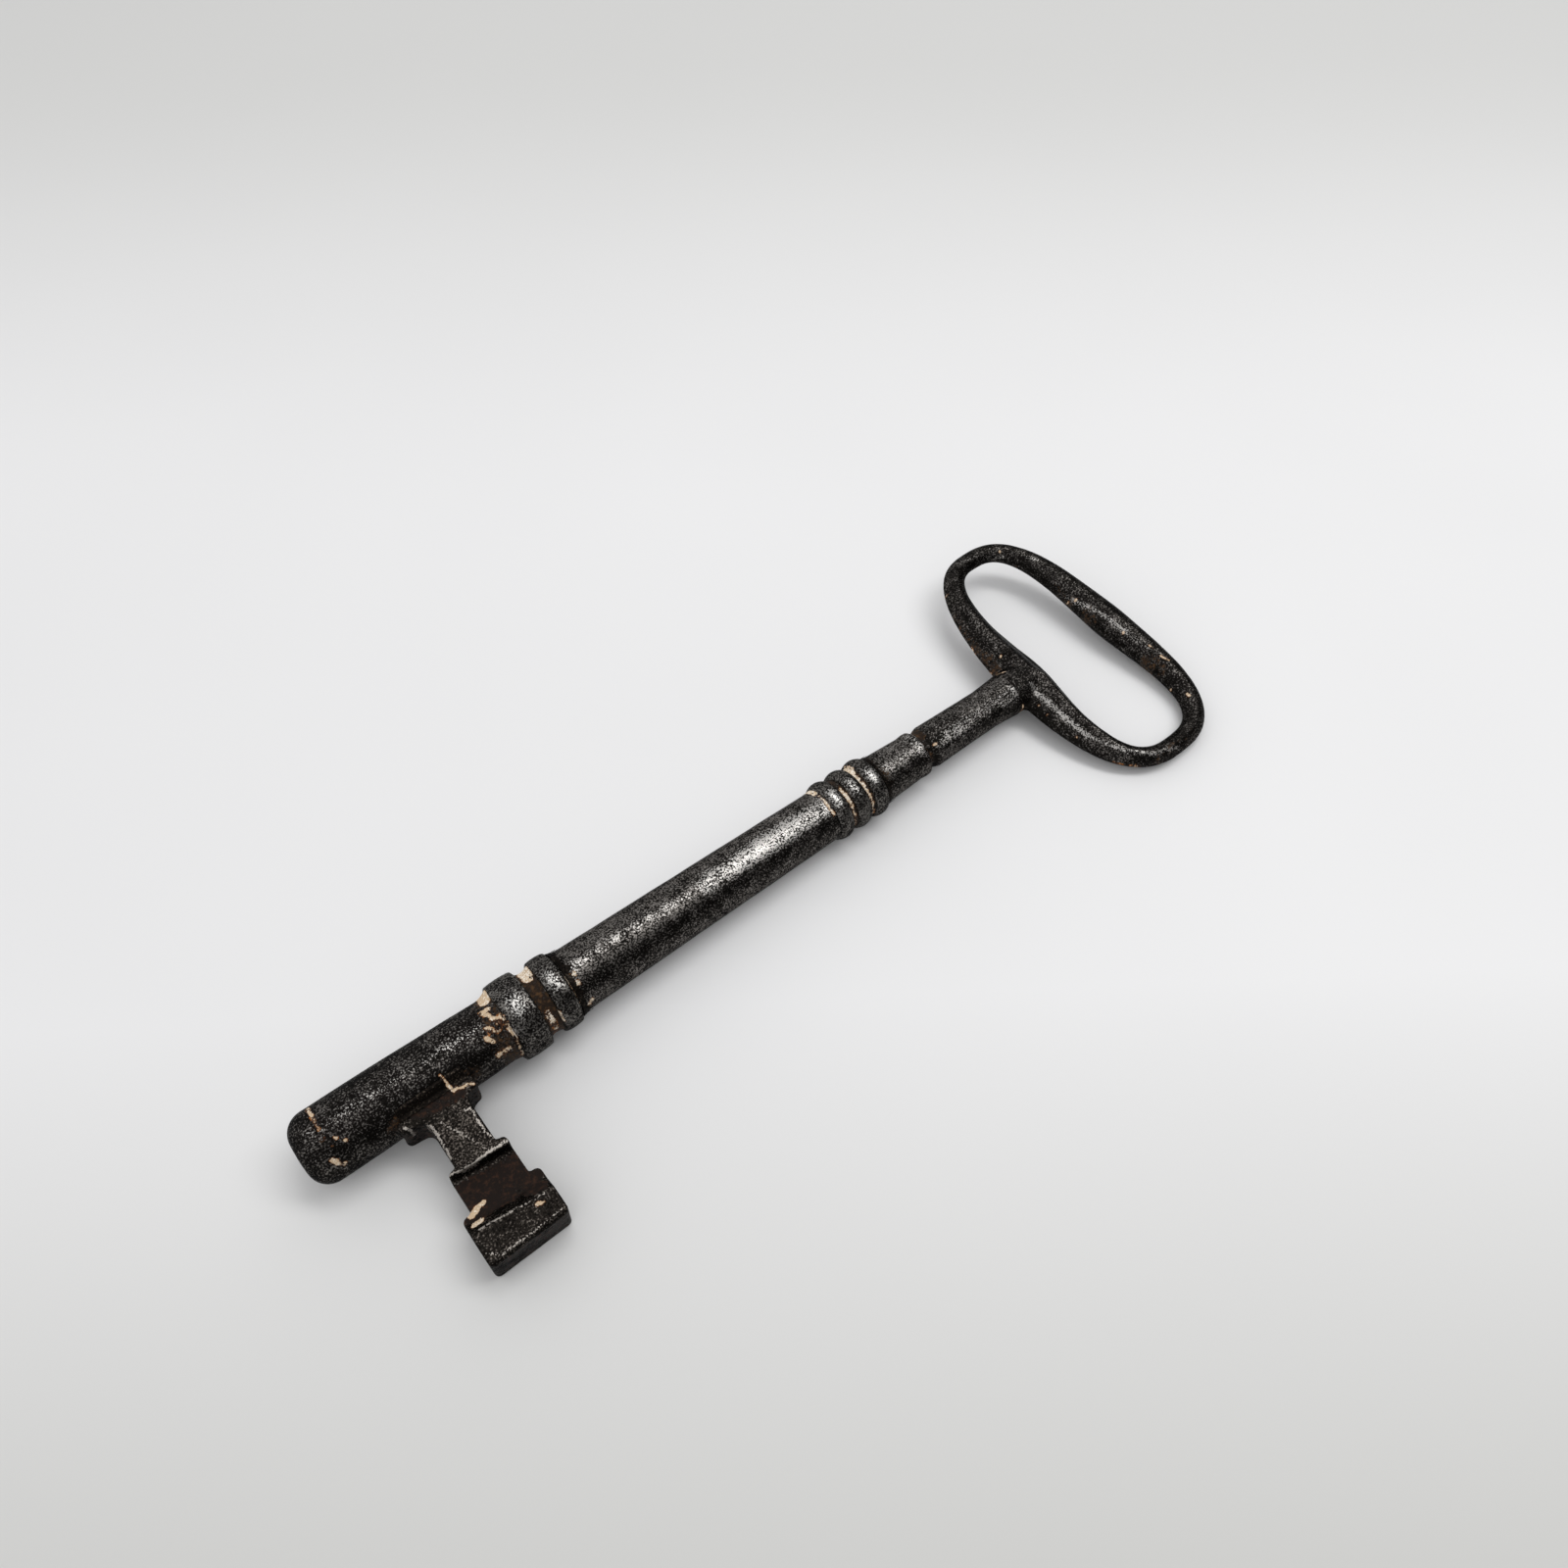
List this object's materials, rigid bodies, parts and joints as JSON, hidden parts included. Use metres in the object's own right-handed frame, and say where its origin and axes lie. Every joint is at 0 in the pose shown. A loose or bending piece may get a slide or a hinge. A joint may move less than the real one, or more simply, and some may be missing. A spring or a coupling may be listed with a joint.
{
  "type": "door key",
  "caption": "Large old iron door key with an oval loop bow, bead rings, stop bands, a solid round stem and a stepped bit with ward cuts.",
  "frame": {"origin": "On the stem's axis, in the middle of the nose journal, which turns in the lock's pilot hole.", "axes": "+X along the stem from the nose to the bow, -Y along the bit from the stem to its toe, +Z out of the bit's face that has the ward groove."},
  "size_m": [0.1751, 0.0604, 0.0134],
  "materials": {
    "forged_iron": "blackened wrought iron, pitted, worn brighter along the ridges",
    "rusty_iron": "blackened wrought iron with brown rust in the hollows",
    "worn_iron": "wrought iron worn to a dull speckled silver",
    "spelter": "old brazing brass, brown and dull, with paint in its corners"
  },
  "bodies": {
    "root": {"shank": "forged_iron", "bit": "rusty_iron", "stop_band": "worn_iron", "ring_band": "worn_iron", "bead_ring_lower": "worn_iron", "bead_ring_middle": "worn_iron", "bead_ring_upper": "worn_iron", "neck": "forged_iron", "bow": "forged_iron", "bit_braze": "spelter", "band_braze": "spelter", "bead_braze": "spelter", "bow_braze": "spelter"}
  },
  "joints": []
}
